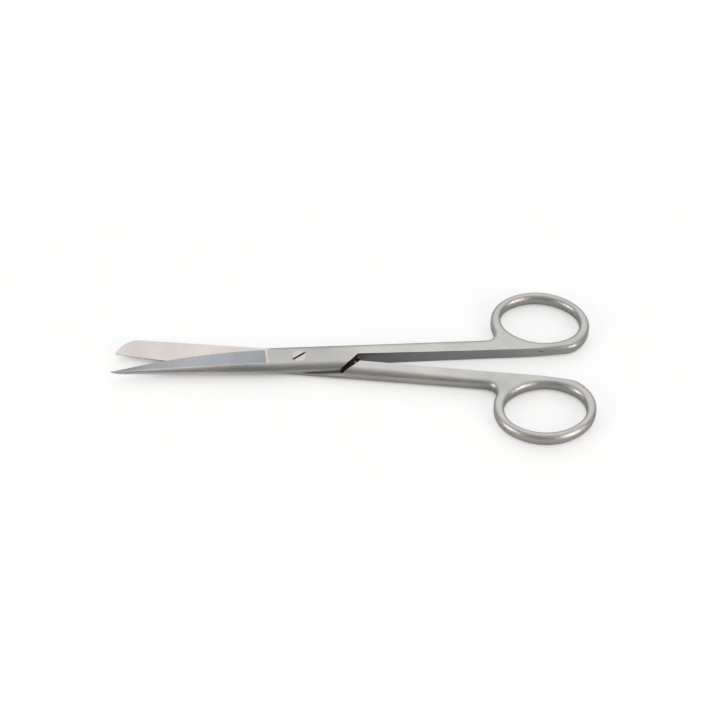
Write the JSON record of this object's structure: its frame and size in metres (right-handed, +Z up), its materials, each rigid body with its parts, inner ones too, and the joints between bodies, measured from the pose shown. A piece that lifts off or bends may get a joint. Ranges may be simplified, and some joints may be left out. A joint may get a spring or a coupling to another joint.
{
  "type": "surgical scissors",
  "caption": "Straight operating scissors with one sharp and one blunt blade, a lap joint turning on a slotted pivot screw, and closed finger rings.",
  "frame": {"origin": "the pivot axis where it meets the surface that the scissors lie on", "axes": "+Z up along the pivot axis, +X from the pivot towards the finger rings, midway between the two halves; the blades point to -X, and +Y is towards the upper half's finger ring"},
  "size_m": [0.1436, 0.059, 0.0048],
  "materials": {
    "satin_steel": "satin stainless steel",
    "screw_steel": "satin stainless steel"
  },
  "bodies": {
    "lower_half": {"lower_half": "satin_steel", "pivot_screw": "screw_steel"},
    "upper_half": {"upper_half": "satin_steel"}
  },
  "joints": [
    {"name": "pivot", "type": "hinge", "parent": "lower_half", "child": "upper_half", "pos_m": [0, 0, 0], "axis": [0, 0, 1], "range_deg": [-8.5, 81.5]}
  ]
}
